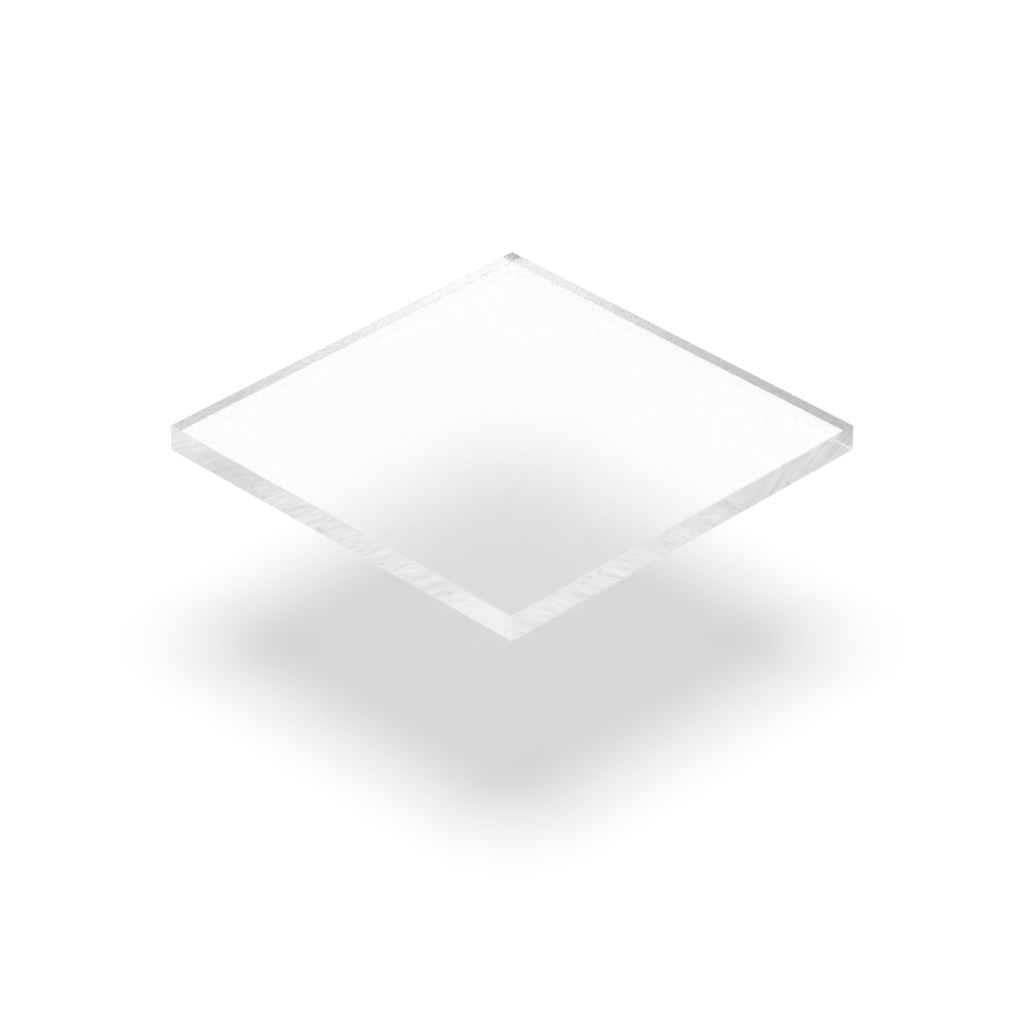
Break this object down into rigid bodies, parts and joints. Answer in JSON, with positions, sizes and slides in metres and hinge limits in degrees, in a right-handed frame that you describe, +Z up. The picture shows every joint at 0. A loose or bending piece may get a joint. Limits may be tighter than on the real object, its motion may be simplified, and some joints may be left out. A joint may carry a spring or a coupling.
{
  "type": "frosted acrylic sheet",
  "caption": "Flat square cut of frosted acrylic sheet with sawn edges, slightly rubbed corners and fine scraped arrises, lying on its frosted face.",
  "frame": {"origin": "middle of the lower, frosted face", "axes": "+Z up through the thickness, X and Y along the sawn edges of the square"},
  "size_m": [0.1, 0.1, 0.006],
  "materials": {
    "frosted_acrylic": "satin"
  },
  "bodies": {
    "root": {"acrylic_sheet": "frosted_acrylic"}
  },
  "joints": []
}
